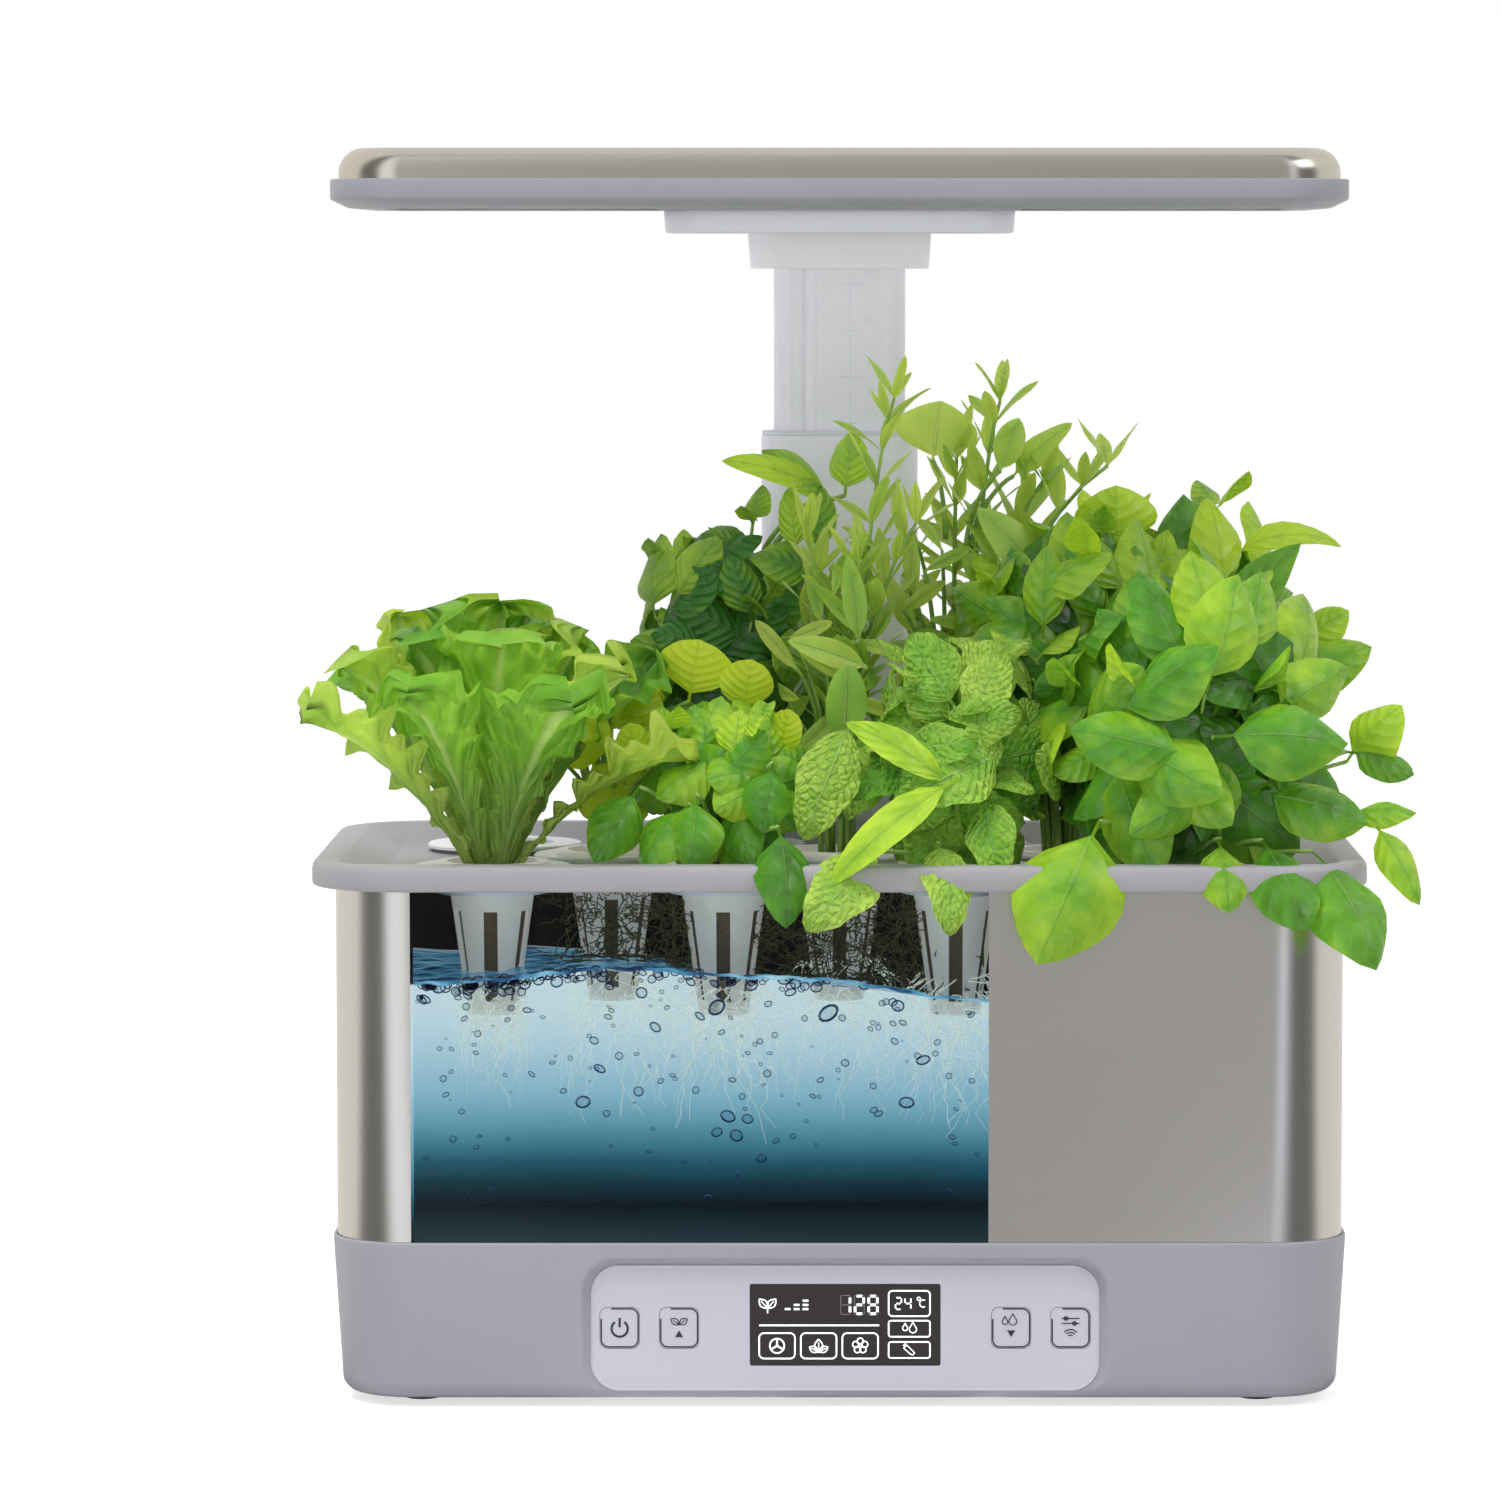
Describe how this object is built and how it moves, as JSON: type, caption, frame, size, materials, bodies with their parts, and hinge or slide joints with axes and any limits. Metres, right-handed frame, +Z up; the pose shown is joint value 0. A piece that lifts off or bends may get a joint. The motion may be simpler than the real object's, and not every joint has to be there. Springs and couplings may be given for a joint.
{
  "type": "countertop hydroponic garden",
  "caption": "Countertop hydroponic garden: steel-wrapped water tank with a window, a lift-off deck of herb and lettuce pods, and a lamp on a sliding mast.",
  "frame": {"origin": "on the ground, under the middle of the outline seen from above", "axes": "+X to the right seen from the front, +Y to the back, +Z up; the control panel faces -Y"},
  "size_m": [0.38, 0.2432, 0.4505],
  "materials": {
    "grey_shell": "satin",
    "grey_cover": "matte",
    "screw_steel": "satin",
    "foot_rubber": "matte",
    "panel_silver": "satin",
    "lens_dark": "gloss",
    "board_green": "satin",
    "key_silver": "satin",
    "body_steel": "satin",
    "pane_clear": "gloss",
    "tank_clear": "gloss",
    "dark_plastic": "satin",
    "white_plastic": "satin",
    "mast_metal": "satin",
    "pale_plastic": "satin",
    "lamp_steel": "satin",
    "board_white": "satin",
    "chip_yellow": "satin",
    "diffuser_milk": "satin",
    "lead_black": "satin",
    "deck_grey": "satin",
    "sponge_brown": "matte",
    "leaf_light": "satin",
    "leaf_mid": "satin",
    "leaf_dark": "satin"
  },
  "bodies": {
    "base": {"base_shell": "grey_shell", "bottom_cover": "grey_cover", "case_screws": "screw_steel", "rubber_feet": "foot_rubber", "control_panel": "panel_silver", "display_lens": "lens_dark", "control_board": "board_green", "steel_sleeve": "body_steel", "window_pane": "pane_clear", "water_tank": "tank_clear", "pump_body": "dark_plastic", "pump_cover": "dark_plastic", "level_sensor": "white_plastic", "dc_socket": "dark_plastic", "mast_foot": "grey_shell", "mast_sleeve": "mast_metal", "mast_bush": "white_plastic"},
    "lamp": {"mast_tube": "mast_metal", "mast_head": "pale_plastic", "lamp_bracket": "pale_plastic", "lamp_rim": "grey_shell", "lamp_cover": "lamp_steel", "led_board": "board_white", "led_chips": "chip_yellow", "diffuser": "diffuser_milk", "lamp_screws": "screw_steel", "lamp_lead": "lead_black"},
    "power_key": {"power_key": "key_silver"},
    "plant_key": {"plant_key": "key_silver"},
    "pump_key": {"pump_key": "key_silver"},
    "setup_key": {"setup_key": "key_silver"},
    "impeller": {"pump_impeller": "white_plastic"},
    "deck": {"grow_deck": "deck_grey", "herb_rings": "white_plastic", "lettuce_ring": "white_plastic", "spare_ring": "white_plastic", "fill_door_pin": "screw_steel", "pod_sponges": "sponge_brown", "small_basil_basket": "white_plastic", "mint_basket": "white_plastic", "broad_basil_basket": "white_plastic", "seedlings_basket": "white_plastic", "rosemary_basket": "white_plastic", "green_basil_basket": "white_plastic", "tall_basil_basket": "white_plastic", "sage_basket": "white_plastic", "back_basil_basket": "white_plastic", "small_basil_plant": "leaf_light", "mint_plant": "leaf_mid", "broad_basil_plant": "leaf_mid", "seedlings_plant": "leaf_light", "rosemary_plant": "leaf_dark", "green_basil_plant": "leaf_dark", "tall_basil_plant": "leaf_mid", "sage_plant": "leaf_dark", "back_basil_plant": "leaf_mid"},
    "fill_door": {"fill_door": "deck_grey"},
    "lettuce_pod": {"lettuce_basket": "white_plastic", "lettuce_sponge": "sponge_brown", "lettuce_plant": "leaf_light"}
  },
  "joints": [
    {"name": "lamp_slide", "type": "slide", "parent": "base", "child": "lamp", "axis": [0, 0, 1], "range_m": [-0.02, 0.12], "deforming": ["lamp_lead"]},
    {"name": "deck_lift", "type": "slide", "parent": "base", "child": "deck", "axis": [0, 0, 1], "range_m": [0, 0.03]},
    {"name": "lettuce_lift", "type": "slide", "parent": "deck", "child": "lettuce_pod", "axis": [0, 0, 1], "range_m": [0, 0.1]},
    {"name": "fill_door_hinge", "type": "hinge", "parent": "deck", "child": "fill_door", "pos_m": [0.139, -0.00855, 0.1894], "axis": [-1, 0, 0], "range_deg": [0, 85]},
    {"name": "impeller_spin", "type": "hinge", "parent": "base", "child": "impeller", "pos_m": [0.1475, 0.03775, 0.0752], "axis": [0, 1, 0], "continuous": true},
    {"name": "power_press", "type": "slide", "parent": "base", "child": "power_key", "axis": [0, 1, 0], "range_m": [0, 0.0006], "stiffness_N_per_m": 400},
    {"name": "plant_press", "type": "slide", "parent": "base", "child": "plant_key", "axis": [0, 1, 0], "range_m": [0, 0.0006], "stiffness_N_per_m": 400},
    {"name": "pump_press", "type": "slide", "parent": "base", "child": "pump_key", "axis": [0, 1, 0], "range_m": [0, 0.0006], "stiffness_N_per_m": 400},
    {"name": "setup_press", "type": "slide", "parent": "base", "child": "setup_key", "axis": [0, 1, 0], "range_m": [0, 0.0006], "stiffness_N_per_m": 400}
  ]
}
